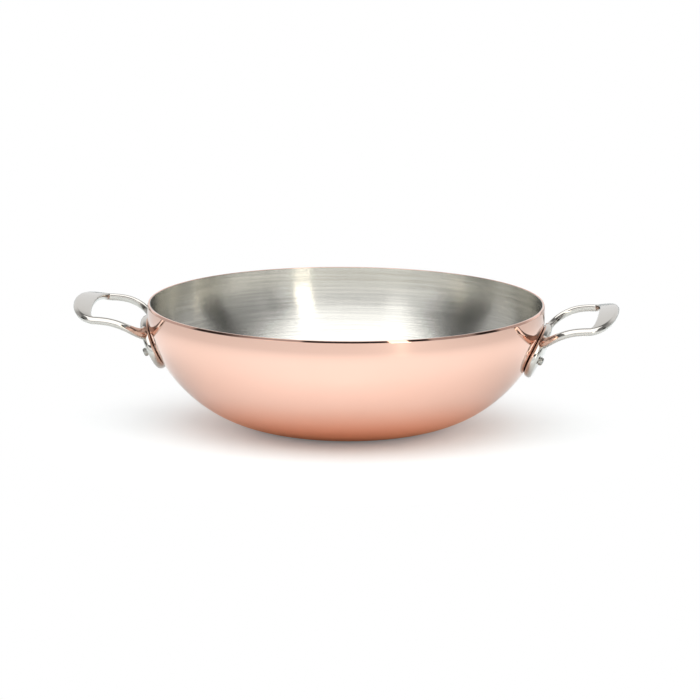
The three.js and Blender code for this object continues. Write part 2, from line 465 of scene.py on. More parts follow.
@dataclass(frozen=True)
class PolishedCopper:
    """Copper that was turned and buffed to a mirror."""

    colour: Colour = (0.955, 0.625, 0.515, 1.0)
    aged_colour: Colour = (0.930, 0.590, 0.475, 1.0)
    smooth: float = 0.045
    dull: float = 0.085
    dull_from: float = 0.35
    dull_to: float = 0.65
    cloud_scale: float = 14.0
    cloud_octaves: float = 3.0
    mark_stretch: float = 3.0
    mark_fineness: float = 900.0
    mark_octaves: float = 4.0
    mark_grain: float = 0.6
    mark_depth: float = 2e-6
    mark_strength: float = 0.12

    @cache
    def material(self) -> Material:
        """The finish as a material, which is made once.

        Returns:
            The material.
        """
        material, sheet, shader = new_material("polished_copper")
        clouds = sheet.noise(sheet.place(), self.cloud_scale, self.cloud_octaves)
        turned = turned_coordinates(sheet, self.mark_stretch, self.mark_fineness)
        marks = sheet.noise(turned, 1.0, self.mark_octaves, self.mark_grain)
        sheet.join(sheet.between(clouds, self.colour, self.aged_colour), shader.inputs["Base Color"])
        mean = sheet.math("MULTIPLY", sheet.math("ADD", clouds, marks), 0.5)
        dullness = sheet.ramp(mean, self.dull_from, self.dull_to, self.smooth, self.dull)
        sheet.join(dullness, shader.inputs["Roughness"])
        sheet.join(sheet.bump(marks, self.mark_depth, self.mark_strength), shader.inputs["Normal"])
        return material


@dataclass(frozen=True)
class BrushedSteel:
    """Stainless steel that was brushed in circles, which smears what it mirrors up and down the wall."""

    bright: Colour = (0.77, 0.760, 0.712, 1.0)
    dark: Colour = (0.66, 0.651, 0.608, 1.0)
    smooth: float = 0.19
    dull: float = 0.24
    smear: float = 1.0
    across_the_brush: float = 0.25
    brush_stretch: float = 60.0
    brush_fineness: float = 24000.0
    streak_stretch: float = 1.6
    streak_fineness: float = 700.0
    octaves: float = 3.0
    grain: float = 0.6
    noise_low: float = 0.3
    noise_middle: float = 0.5
    noise_high: float = 0.7
    groove_slope: float = 0.8

    @cache
    def material(self) -> Material:
        """The finish as a material, which is made once.

        Returns:
            The material.
        """
        material, sheet, shader = new_material("brushed_steel")
        streaks = self.lines(sheet, self.streak_stretch, self.streak_fineness)
        brush = self.lines(sheet, self.brush_stretch, self.brush_fineness)
        tone = sheet.ramp(streaks, self.noise_low, self.noise_high, 0.0, 1.0)
        sheet.join(sheet.between(tone, self.dark, self.bright), shader.inputs["Base Color"])
        dullness = sheet.ramp(brush, self.noise_low, self.noise_high, self.smooth, self.dull)
        sheet.join(dullness, shader.inputs["Roughness"])
        shader.inputs["Anisotropic"].default_value = self.smear
        shader.inputs["Anisotropic Rotation"].default_value = self.across_the_brush
        tangent = sheet.add("ShaderNodeTangent", direction_type="RADIAL", axis="Z").outputs[0]
        sheet.join(tangent, shader.inputs["Tangent"])
        sheet.join(self.grooved(sheet, tangent, brush), shader.inputs["Normal"])
        return material

    def lines(self, sheet: NodeSheet, stretch: float, fineness: float) -> NodeSocket:
        """A noise of lines round the wall."""
        return sheet.noise(turned_coordinates(sheet, stretch, fineness), 1.0, self.octaves, self.grain)

    def grooved(self, sheet: NodeSheet, tangent: NodeSocket, brush: NodeSocket) -> NodeSocket:
        """A normal that the brush's grooves tip up and down the wall.

        Args:
            sheet: The sheet to draw on.
            tangent: The way that the grooves run.
            brush: The grooves' noise.

        Returns:
            The normal's socket.
        """
        normal = sheet.add("ShaderNodeNewGeometry").outputs["Normal"]
        up = sheet.vector("CROSS_PRODUCT", normal, tangent)
        depth = sheet.math("SUBTRACT", brush, self.noise_middle)
        tip = sheet.add("ShaderNodeVectorMath", up, operation="SCALE")
        sheet.join(sheet.math("MULTIPLY", depth, self.groove_slope), tip.inputs["Scale"])
        return sheet.vector("NORMALIZE", sheet.vector("ADD", normal, tip.outputs[0]))


@dataclass(frozen=True)
class PolishedSteel:
    """Cast stainless steel, ground and buffed, with the faint unevenness of a casting."""

    name: str = "polished_steel"
    bright: Colour = (0.66, 0.635, 0.595, 1.0)
    dark: Colour = (0.61, 0.585, 0.545, 1.0)
    smooth: float = 0.06
    dull: float = 0.12
    dull_from: float = 0.35
    dull_to: float = 0.65
    cloud_scale: float = 60.0
    cloud_octaves: float = 3.0
    wave_scale: float = 110.0
    wave_octaves: float = 1.0
    wave_depth: float = 4e-5
    wave_strength: float = 0.05

    @cache
    def material(self) -> Material:
        """The finish as a material, which is made once.

        Returns:
            The material.
        """
        material, sheet, shader = new_material(self.name)
        place = sheet.place()
        clouds = sheet.noise(place, self.cloud_scale, self.cloud_octaves)
        waves = sheet.noise(place, self.wave_scale, self.wave_octaves)
        sheet.join(sheet.between(clouds, self.bright, self.dark), shader.inputs["Base Color"])
        dullness = sheet.ramp(clouds, self.dull_from, self.dull_to, self.smooth, self.dull)
        sheet.join(dullness, shader.inputs["Roughness"])
        sheet.join(sheet.bump(waves, self.wave_depth, self.wave_strength), shader.inputs["Normal"])
        return material


# Pan


@dataclass(frozen=True)
class BowlWall:
    """The outside of the copper: flat base, round belly, tighter shoulder and a short upright band."""

    rim_radius: float = 0.160
    base_radius: float = 0.0525
    shoulder_radius: float = 0.062
    shoulder_angle: float = math.radians(25)
    band_height: float = 0.009
    copper: float = 0.0018
    bond_gap: float = 0.0001
    lining: float = 0.0003
    sides: int = 192
    belly_steps: int = 36
    shoulder_steps: int = 14

    @property
    def belly_radius(self) -> float:
        """Radius of the belly's arc, which meets the base and the shoulder smoothly."""
        shoulder_reach = self.shoulder_radius * (1 - math.cos(self.shoulder_angle))
        return (self.rim_radius - shoulder_reach - self.base_radius) / math.cos(self.shoulder_angle)

    @property
    def shoulder_top(self) -> float:
        """Height at which the shoulder becomes upright."""
        angle = self.shoulder_angle
        return self.shoulder_radius * math.sin(angle) + self.belly_radius * (1 - math.sin(angle))

    @property
    def height(self) -> float:
        """Height of the pan."""
        return self.shoulder_top + self.band_height

    @property
    def lining_outside(self) -> float:
        """Inset of the lining's outside from the outside of the copper."""
        return self.copper + self.bond_gap

    @property
    def lining_inside(self) -> float:
        """Inset of the lining's inside from the outside of the copper."""
        return self.lining_outside + self.lining

    def lean_at(self, height: float) -> float:
        """The angle that the outward normal dips by.

        Args:
            height: The height above the base.

        Returns:
            The angle.
        """
        if height >= self.shoulder_top:
            return 0.0
        depth = (self.shoulder_top - height) / self.shoulder_radius
        if depth <= math.sin(self.shoulder_angle):
            return math.asin(depth)
        return math.asin((self.belly_radius - height) / self.belly_radius)

    def radius_at(self, height: float) -> float:
        """The outside radius.

        Args:
            height: The height above the base.

        Returns:
            The radius.
        """
        lean = self.lean_at(height)
        if lean <= self.shoulder_angle:
            return self.rim_radius - self.shoulder_radius * (1 - math.cos(lean))
        return self.base_radius + self.belly_radius * math.cos(lean)

    def normal(self, across: float, height: float) -> Vector:
        """The outward direction on the right-hand side.

        Args:
            across: The distance from the handle's middle plane.
            height: The height above the base.

        Returns:
            A unit vector.
        """
        turn = math.asin(across / self.radius_at(height))
        lean = self.lean_at(height)
        return Vector((math.cos(lean) * math.cos(turn), math.cos(lean) * math.sin(turn), -math.sin(lean)))

    def point(self, across: float, height: float, stand: float) -> Vector:
        """A point that stands off the right-hand side.

        Args:
            across: The distance from the handle's middle plane.
            height: The height of its foot on the wall.
            stand: The distance from the wall.

        Returns:
            The point.
        """
        radius = self.radius_at(height)
        turn = math.asin(across / radius)
        foot = Vector((radius * math.cos(turn), radius * math.sin(turn), height))
        return foot + self.normal(across, height) * stand

    def stand_of(self, point: Vector) -> float:
        """How far a point stands off the wall."""
        return (point.xy.length - self.radius_at(point.z)) * math.cos(self.lean_at(point.z))

    def draw_up(self, pen: ProfilePen, inset: float, top: float) -> None:
        """Draws the wall from the edge of the base up the band, at an inset.

        Args:
            pen: The pen, which stands at the edge of the base.
            inset: The distance from the outside.
            top: The height to stop at.
        """
        belly, shoulder = self.arc_centres()
        pen.arc(belly, math.pi / 2 - self.shoulder_angle, self.belly_steps)
        pen.arc(shoulder, self.shoulder_angle, self.shoulder_steps)
        pen.line_to(Vector((self.rim_radius - inset, 0, top)))

    def draw_down(self, pen: ProfilePen, inset: float) -> None:
        """Draws the wall from the lip to the middle of the base, at an inset.

        Args:
            pen: The pen, which stands at the lip.
            inset: The distance from the outside.
        """
        belly, shoulder = self.arc_centres()
        pen.line_to(Vector((self.rim_radius - inset, 0, self.shoulder_top)))
        pen.arc(shoulder, -self.shoulder_angle, self.shoulder_steps)
        pen.arc(belly, self.shoulder_angle - math.pi / 2, self.belly_steps)
        pen.line_to(Vector((0, 0, inset)))

    def arc_centres(self) -> tuple[Vector, Vector]:
        """The centres of the section's arcs.

        Returns:
            The belly's centre and the shoulder's.
        """
        belly = Vector((self.base_radius, 0, self.belly_radius))
        shoulder = Vector((self.rim_radius - self.shoulder_radius, 0, self.shoulder_top))
        return belly, shoulder


@dataclass
class CopperShell:
    """The spun copper bowl; its lip is turned to a narrow bevel with rounded edges."""

    wall: BowlWall
    finish: PolishedCopper = PolishedCopper()
    bevel_angle: float = math.radians(20)
    bevel_length: float = 0.0015
    bevel_round: float = 0.0015
    edge_round: float = 0.00015
    round_steps: int = 6

    def build(self) -> Object:
        """Draws the section outside up, over the lip and inside down, and turns it.

        Returns:
            The bowl.
        """
        wall = self.wall
        outward = Vector((math.cos(self.bevel_angle), 0, math.sin(self.bevel_angle)))
        upward = Vector((-math.sin(self.bevel_angle), 0, math.cos(self.bevel_angle)))
        foot = Vector((wall.rim_radius - self.bevel_round, 0, 0))
        edge = foot + outward * (self.bevel_round - self.edge_round) + upward * self.bevel_length
        lift = Vector((0, 0, wall.height - self.edge_round - edge.z))
        inside = wall.rim_radius - wall.copper
        inner_edge = Vector((inside + self.edge_round, 0, wall.height - self.edge_round))
        pen = ProfilePen("copper_bowl", Vector((0, 0, 0)))
        pen.line_to(Vector((wall.base_radius, 0, 0)))
        wall.draw_up(pen, 0.0, lift.z)
        pen.arc(foot + lift, self.bevel_angle, self.round_steps)
        pen.line_to(pen.point + upward * self.bevel_length)
        pen.arc(edge + lift, math.pi / 2 - self.bevel_angle, self.round_steps)
        pen.line_to(Vector((inner_edge.x, 0, wall.height)))
        pen.arc(inner_edge, math.pi / 2, self.round_steps)
        wall.draw_down(pen, wall.copper)
        return pen.turn(wall.sides)

    def dress(self, bowl: Object) -> None:
        """Polishes the bowl and lets it stand for its node."""
        hand_over(bowl, self.finish.material(), "copper_shell")


@dataclass
class SteelLining:
    """The thin steel lining, bonded to the inside of the copper."""

    wall: BowlWall
    finish: BrushedSteel = BrushedSteel()
    below_the_lip: float = 0.0002

    def build(self) -> Object:
        """Draws the section outside up and inside down, and turns it.

        Returns:
            The lining.
        """
        wall = self.wall
        pen = ProfilePen("brushed_lining", Vector((0, 0, wall.lining_outside)))
        pen.line_to(Vector((wall.base_radius, 0, wall.lining_outside)))
        top = wall.height - self.below_the_lip
        wall.draw_up(pen, wall.lining_outside, top)
        pen.line_to(Vector((wall.rim_radius - wall.lining_inside, 0, top)))
        wall.draw_down(pen, wall.lining_inside)
        return pen.turn(wall.sides)

    def dress(self, lining: Object) -> None:
        """Brushes the lining and lets it stand for its node."""
        hand_over(lining, self.finish.material(), "steel_lining")


# Handles


@dataclass(frozen=True)
class Station:
    """One section of a handle's loop: its edges from above, its swell and its share of the grip's form."""

    outer: Vector
    inner: Vector
    swell: float
    grip: float

    def flipped(self) -> "Station":
        """The same section on the other half of the loop."""
        over = Vector((1, -1, 1))
        return Station(self.outer * over, self.inner * over, self.swell, self.grip)


@dataclass(frozen=True)
class Ring:
    """The plane of one section of a handle's loop."""

    middle: Vector
    across: Vector
    up: Vector
    reach: float

    def at(self, across: float, up: float) -> Vector:
        """A point of the section, from its middle."""
        return self.middle + self.across * across + self.up * up

    def holds(self, point: Vector) -> bool:
        """Whether a point lies in the section."""
        offset = point - self.middle
        return abs(offset.dot(self.across.cross(self.up))) < MERGE_DISTANCE and offset.length < self.reach


@dataclass
class LoopHandle:
    """A cast handle: an oval plate on the wall, two arms that rise and spread, and a broad grip."""

    wall: BowlWall
    finish: PolishedSteel = PolishedSteel()
    plate_width: float = 0.079
    plate_height: float = 0.039
    plate_thickness: float = 0.0065
    plate_drop: float = 0.0342
    plate_seat: float = 0.0003
    plate_front_round: float = 0.003
    plate_back_round: float = 0.0024
    plate_corner: float = math.radians(50)
    plate_sides: int = 72
    plate_rings: int = 4
    arm_width: float = 0.0066
    arm_thickness: float = 0.0056
    arm_chamfer: float = 0.0026
    grip_chamfer: float = 0.0013
    inner_chamfer: float = 0.0007
    outer_waist: float = 0.0001
    inner_waist: float = 0.0004
    outer_tuck: float = 0.0017
    inner_tuck: float = 0.0013
    root_span: float = 0.052
    root_rise: float = 0.0105
    root_swell: float = 0.3
    root_blend: float = 0.004
    flare_span: float = 0.100
    flare_reach: float = 0.004
    bend_span: float = 0.106
    bend_reach: float = 0.015
    knee_span: float = 0.102
    knee_reach: float = 0.0388
    knee_drop: float = 0.0095
    arm_sweep: float = 2.7
    reach: float = 0.060
    grip_width: float = 0.0165
    grip_thickness: float = 0.0052
    grip_crown: float = 0.0045
    grip_tilt: float = math.radians(8)
    outer_corner: float = 0.0175
    outer_bow: float = 0.0225
    inner_corner: float = 0.003
    inner_bow: float = 0.026
    edge_round: float = 0.0011
    round_steps: int = 5
    arm_steps: int = 36
    grip_steps: int = 28
    knee: Vector = field(init=False)
    root: Vector = field(init=False)

    def __post_init__(self) -> None:
        """Works out where the arm starts and where it meets the grip."""
        wall = self.wall
        knee_height = wall.height - self.knee_drop
        self.knee = Vector((wall.rim_radius + self.knee_reach, self.knee_span / 2, knee_height))
        self.root = wall.point(self.root_span / 2, self.plate_middle + self.root_rise, self.plate_half)

    @property
    def plate_middle(self) -> float:
        """Height of the plate's middle."""
        return self.wall.height - self.plate_drop

    @property
    def plate_front(self) -> float:
        """Stand of the plate's front face off the wall."""
        return self.plate_seat + self.plate_thickness

    @property
    def plate_half(self) -> float:
        """Stand of the plate's middle off the wall."""
        return self.plate_seat + self.plate_thickness / 2

    def build(self, bowl: Object) -> Object:
        """Casts plate and loop as one piece on the right-hand side.

        Args:
            bowl: The copper bowl that the plate follows.

        Returns:
            The handle.
        """
        plate = self.plate(bowl)
        handle = self.loop()
        finish_with(handle, Finisher.BOOLEAN, operation="UNION", solver="EXACT", use_self=True, object=plate)
        remove(plate)
        return handle

    def dress(self, piece: Object, side: Side) -> None:
        """Polishes a handle and lets it stand for its side's node."""
        hand_over(piece, self.finish.material(), f"handle_{side.name}".lower())

    def plate(self, bowl: Object) -> Object:
        """The oval plate: a disc that is laid on the wall and thickened.

        Args:
            bowl: The copper bowl.

        Returns:
            The plate.
        """
        bpy.ops.object.select_all(action="DESELECT")
        start = Vector((self.wall.rim_radius + self.reach, 0, self.plate_middle))
        bpy.ops.mesh.primitive_circle_add(vertices=self.plate_sides, radius=1, fill_type="NOTHING")
        piece = new_piece("handle_plate")
        bpy.ops.transform.rotate(value=-math.pi / 2, orient_axis="Y", center_override=(0, 0, 0))
        half_size = (1, self.plate_width / 2, self.plate_height / 2)
        bpy.ops.transform.resize(value=half_size, center_override=(0, 0, 0))
        bpy.ops.transform.translate(value=start)
        for count in range(self.plate_rings, 0, -1):
            extrude(Vector((0, 0, 0)))
            smaller = count / (count + 1)
            bpy.ops.transform.resize(value=(1, smaller, smaller), center_override=start)
        bpy.ops.mesh.edge_face_add()
        bpy.ops.mesh.poke()
        close_mesh(piece)
        finish_with(piece, Finisher.SHRINKWRAP, target=bowl, wrap_method="PROJECT", use_project_x=True,
                    use_negative_direction=True, use_positive_direction=False, offset=self.plate_seat)
        outwards = math.copysign(1.0, sum(face.normal.x for face in piece.data.polygons))
        finish_with(piece, Finisher.SOLIDIFY, thickness=self.plate_thickness, offset=outwards)
        bpy.ops.object.mode_set(mode="EDIT")
        half = self.plate_half
        self.round_rim(piece, lambda point: self.wall.stand_of(point) > half, self.plate_front_round)
        self.round_rim(piece, lambda point: self.wall.stand_of(point) < half, self.plate_back_round)
        close_mesh(piece)
        return piece

    def round_rim(self, piece: Object, wanted: Callable[[Vector], bool], rounding: float) -> None:
        """Rounds the plate's sharp edges where they pass a test.

        Args:
            piece: The plate in edit mode.
            wanted: The test on a vertex's place.
            rounding: The radius.
        """
        bpy.ops.mesh.select_mode(type="EDGE")
        bpy.ops.mesh.select_all(action="DESELECT")
        bpy.ops.mesh.edges_select_sharp(sharpness=self.plate_corner)
        mesh = bmesh.from_edit_mesh(piece.data)
        for edge in mesh.edges:
            edge.select = edge.select and all(wanted(vertex.co) for vertex in edge.verts)
        bmesh.update_edit_mesh(piece.data)
        bpy.ops.mesh.bevel(offset=rounding, segments=self.round_steps)

    def loop(self) -> Object:
        """The loop: rounded sections from one arm's root round the grip to the other's, bridged.

        Returns:
            The closed loop.
        """
        half = self.half_loop()
        stations = [*half, *(station.flipped() for station in reversed(half[:-1]))]
        middles = [self.lifted((station.outer + station.inner) / 2) for station in stations]
        bpy.ops.object.select_all(action="DESELECT")
        bpy.ops.mesh.primitive_plane_add(size=self.arm_width)
        piece = new_piece("handle_loop")
        bpy.ops.mesh.delete(type="VERT")
        last = None
        for index, station in enumerate(stations):
            before = middles[max(0, index - 1)]
            after = middles[min(len(middles) - 1, index + 1)]
            ring = self.section(piece, station, middles[index], after - before)
            if last is not None:
                select_vertices(piece, lambda point: last.holds(point) or ring.holds(point))
                bpy.ops.mesh.bridge_edge_loops(type="SINGLE")
            last = ring
        bpy.ops.mesh.select_all(action="SELECT")
        bpy.ops.mesh.fill_holes(sides=0)
        close_mesh(piece)
        return piece

    def section(self, piece: Object, station: Station, middle: Vector, along: Vector) -> Ring:
        """Adds one section with rounded corners as a ring of edges.

        Args:
            piece: The loop in edit mode.
            station: The section.
            middle: The section's middle.
            along: The way the loop runs there.

        Returns:
            The ring's plane.
        """
        side = self.lifted(station.outer) - self.lifted(station.inner)
        ring = Ring(middle, side.normalized(), along.cross(side).normalized(), side.length)
        draw_chain([ring.at(across, up) for across, up in self.corners(side.length / 2, station)])
        select_vertices(piece, ring.holds)
        bpy.ops.mesh.edge_face_add()
        rounding = self.edge_round * station.swell
        bpy.ops.mesh.bevel(affect="VERTICES", offset=rounding, segments=self.round_steps)
        bpy.ops.mesh.delete(type="ONLY_FACE")
        return ring

    def corners(self, half: float, station: Station) -> list[tuple[float, float]]:
        """Corners of a section, with a flat top and underside and a waist where the mould parted.

        Args:
            half: Half of the section's width.
            station: The section.

        Returns:
            Distances across and up from the section's middle.
        """
        swell = station.swell
        thickness = self.arm_thickness + (self.grip_thickness - self.arm_thickness) * station.grip
        chamfer = self.arm_chamfer + (self.grip_chamfer - self.arm_chamfer) * station.grip
        top = thickness * swell / 2
        return [
            (half - chamfer * swell, top),
            (half, self.outer_waist * swell),
            (half - self.outer_tuck * swell, -top),
            (-half + self.inner_tuck * swell, -top),
            (-half, self.inner_waist * swell),
            (-half + self.inner_chamfer * swell, top),
        ]

    def half_loop(self) -> list[Station]:
        """Sections of one arm and its half of the grip, as seen from above.

        Returns:
            The sections, from the arm's root to the grip's middle.
        """
        wall, knee = self.wall, self.knee.xy.to_3d()
        flare = Vector((wall.rim_radius + self.flare_reach, self.flare_span / 2, 0))
        bend = Vector((wall.rim_radius + self.bend_reach, self.bend_span / 2, 0))
        middles = interpolate_bezier(self.root.xy.to_3d(), flare, bend, knee, self.arm_steps + 1)
        arm = []
        for index, middle in enumerate(middles):
            before = middles[max(0, index - 1)]
            after = middles[min(self.arm_steps, index + 1)]
            swell = 1 + self.root_swell * math.exp(-(middle - middles[0]).length / self.root_blend)
            outwards = Vector((before.y - after.y, after.x - before.x, 0)).normalized()
            offset = outwards * self.arm_width / 2 * swell
            arm.append(Station(middle + offset, middle - offset, swell, 0.0))
        onward = (knee - bend).normalized()
        tip = wall.rim_radius + self.reach
        outer = self.grip_edge(arm[-1].outer, onward * self.outer_corner, tip, self.outer_bow)
        inner_tip = tip - self.grip_width
        inner = self.grip_edge(arm[-1].inner, onward * self.inner_corner, inner_tip, self.inner_bow)
        grip = []
        for index in range(1, self.grip_steps + 1):
            grip.append(Station(outer[index], inner[index], 1.0, index / self.grip_steps))
        return [*arm, *grip]

    def grip_edge(self, start: Vector, corner: Vector, tip: float, bow: float) -> list[Vector]:
        """One edge of half of the grip: on from the arm, round a corner, and straight to the tip."""
        end = Vector((tip, 0, 0))
        return interpolate_bezier(start, start + corner, end + Vector((0, bow, 0)), end, self.grip_steps + 1)

    def crown_at(self, across: float) -> float:
        """How far the loop arches up at a distance from its middle plane."""
        return self.grip_crown * (1 - (across / self.knee.y) ** 2)

    def lifted(self, flat: Vector) -> Vector:
        """A point seen from above, lifted to the loop's middle surface.

        Args:
            flat: The point, seen from above.

        Returns:
            The lifted point.
        """
        drop = self.knee.z + self.crown_at(self.root.y) - self.root.z
        inward = max(0.0, (self.knee.x - flat.x) / (self.knee.x - self.root.x))
        outward = max(0.0, flat.x - self.knee.x)
        height = self.knee.z + self.crown_at(flat.y) - drop * inward ** self.arm_sweep
        return Vector((flat.x, flat.y, height + math.tan(self.grip_tilt) * outward))


@dataclass
class WallRivet:
    """A solid rivet: domed head on the plate, shank through the wall, and a low head on the lining."""

    wall: BowlWall
    finish: PolishedSteel = PolishedSteel(
        "rivet_steel", bright=(0.46, 0.45, 0.42, 1.0), dark=(0.36, 0.35, 0.32, 1.0), smooth=0.22, dull=0.34)
    spacing: float = 0.0565
    drop: float = 0.035
    shank_radius: float = 0.0026
    outer_radius: float = 0.0034
    outer_height: float = 0.0028
    outer_round: float = 0.0016
    inner_radius: float = 0.005
    inner_height: float = 0.0018
    inner_round: float = 0.0013
    seat: float = 0.0003
    sides: int = 40
    round_steps: int = 6

    def build(self, name: str, plate_front: float) -> Object:
        """Models one rivet along +Z, with the outside of the wall at the origin.

        Args:
            name: The piece's name.
            plate_front: Stand of the plate's front face off the wall.

        Returns:
            The rivet.
        """
        outer_seat = plate_front + self.seat
        inner_seat = self.wall.lining_inside + self.seat
        bpy.ops.object.select_all(action="DESELECT")
        bpy.ops.mesh.primitive_cylinder_add(
            vertices=self.sides, radius=self.shank_radius, depth=outer_seat + inner_seat)
        piece = new_piece(name)
        bpy.ops.transform.translate(value=(0, 0, (outer_seat - inner_seat) / 2))
        self.head(piece, outer_seat, self.outer_radius, self.outer_height, self.outer_round)
        self.head(piece, -inner_seat, self.inner_radius, -self.inner_height, self.inner_round)
        close_mesh(piece)
        return piece

    def set_in(self, piece: Object, side: Side, place: Place) -> None:
        """Sets a rivet square to the wall, in its mesh.

        Args:
            piece: The rivet, as it was modelled.
            side: The side of the pan.
            place: The rivet's place on the plate.
        """
        height = self.wall.height - self.drop
        across = place.value * math.cos(side.value) * self.spacing / 2
        focus(piece)
        piece.location = self.wall.point(across, height, 0.0)
        piece.rotation_mode = "QUATERNION"
        piece.rotation_quaternion = self.wall.normal(across, height).to_track_quat("Z", "Y")
        bpy.ops.object.transform_apply(location=True, rotation=True, scale=False)
        turn_to(piece, side)

    def dress(self, piece: Object, node: str) -> None:
        """Gives a rivet its duller steel and lets it stand for its node."""
        hand_over(piece, self.finish.material(), node)

    def head(self, piece: Object, seat: float, radius: float, height: float, rounding: float) -> None:
        """Draws a head out of one end of the shank.

        Args:
            piece: The rivet in edit mode.
            seat: The height of the shank's end.
            radius: The head's radius.
            height: The head's height, negative where it points down.
            rounding: The radius of its rounded edge.
        """
        select_vertices(piece, lambda point: abs(point.z - seat) < MERGE_DISTANCE)
        grow = radius / self.shank_radius
        extrude(Vector((0, 0, 0)))
        bpy.ops.transform.resize(value=(grow, grow, 1), center_override=(0, 0, seat))
        extrude(Vector((0, 0, height)))
        bpy.ops.mesh.bevel(offset=rounding, segments=self.round_steps)


# Studio


@dataclass(frozen=True)
class PaleFloor:
    """A white floor: the camera sees it white with the pan's soft shadow, and metal as a pale table."""

    size: float = 24.0
    paint: Colour = (0.85, 0.90, 0.91, 1.0)
    lift: float = 0.12
    fade_from: float = 0.10
    fade_to: float = 0.26
    fade_ahead: float = 0.035
    glow: Colour = (0.95, 0.56, 0.35, 1.0)
    glow_from: float = 0.07
    glow_to: float = 0.15
    pool_from: float = 0.27
    pool_to: float = 0.62
    past_pool: float = 0.74
    one_bounce: float = 0.5

    def build(self) -> None:
        bpy.ops.object.select_all(action="DESELECT")
        bpy.ops.mesh.primitive_plane_add(size=self.size)
        floor = bpy.context.object
        floor.name = "pale_floor"
        floor.data.materials.append(self.material())

    def material(self) -> Material:
        """A matt white that fades to plain white away from the pan.

        In a mirror it is dimmer beyond its pool of light, and warm where the copper throws light on it.

        Returns:
            The material.
        """
        material, sheet, shader = new_material("pale_floor")
        shader.inputs["Metallic"].default_value = 0.0
        shader.inputs["Roughness"].default_value = 1.0
        shader.inputs["Specular IOR Level"].default_value = 0.0
        shader.inputs["Emission Color"].default_value = WHITE
        path = sheet.add("ShaderNodeLightPath")
        place = sheet.place()
        distance = sheet.length(place)
        mirrored = sheet.math("MAXIMUM", path.outputs["Is Glossy Ray"], path.outputs["Is Transmission Ray"])
        inside = sheet.ramp(distance, self.glow_from, self.glow_to, 1.0, 0.0)
        straight = sheet.math("LESS_THAN", path.outputs["Diffuse Depth"], self.one_bounce)
        warm = sheet.math("MULTIPLY", inside, sheet.math("MULTIPLY", mirrored, straight))
        glowing = sheet.between(warm, self.paint, self.glow)
        outside = sheet.ramp(distance, self.pool_from, self.pool_to, 0.0, 1 - self.past_pool)
        dimmed = sheet.math("MULTIPLY", outside, mirrored)
        sheet.join(sheet.between(dimmed, glowing, BLACK), shader.inputs["Base Color"])
        sheet.join(sheet.math("MULTIPLY", path.outputs["Is Camera Ray"], self.lift),
                   shader.inputs["Emission Strength"])
        shifted = sheet.vector("ADD", place, Vector((0, self.fade_ahead, 0)))
        far = sheet.ramp(sheet.length(shifted), self.fade_from, self.fade_to, 0.0, 1.0)
        white = sheet.add("ShaderNodeEmission").outputs[0]
        seen_far = sheet.math("MULTIPLY", far, path.outputs["Is Camera Ray"])
        output = next(node for node in sheet.tree.nodes if node.type == "OUTPUT_MATERIAL")
        sheet.join(sheet.lay(seen_far, shader.outputs[0], white), output.inputs["Surface"])
        return material


@dataclass(frozen=True)
class SoftBox:
    """A soft area lamp that the camera doesn't see."""

    name: str
    place: Triple
    aim: Triple
    width: float
    depth: float
    radiance: float
    colour: Triple = (1.0, 1.0, 1.0)
    mirrored: bool = True

    def build(self) -> None:
        """Sets up the lamp and aims it."""
        data = bpy.data.lights.new(self.name, "AREA")
        data.shape = "RECTANGLE"
        data.size = self.width
        data.size_y = self.depth
        data.energy = self.radiance * math.pi * self.width * self.depth
        data.color = self.colour
        lamp = bpy.data.objects.new(self.name, data)
        bpy.context.scene.collection.objects.link(lamp)
        lamp.location = self.place
        lamp.rotation_mode = "QUATERNION"
        lamp.rotation_quaternion = (Vector(self.aim) - Vector(self.place)).to_track_quat("-Z", "Y")
        lamp.visible_camera = False
        lamp.visible_glossy = self.mirrored


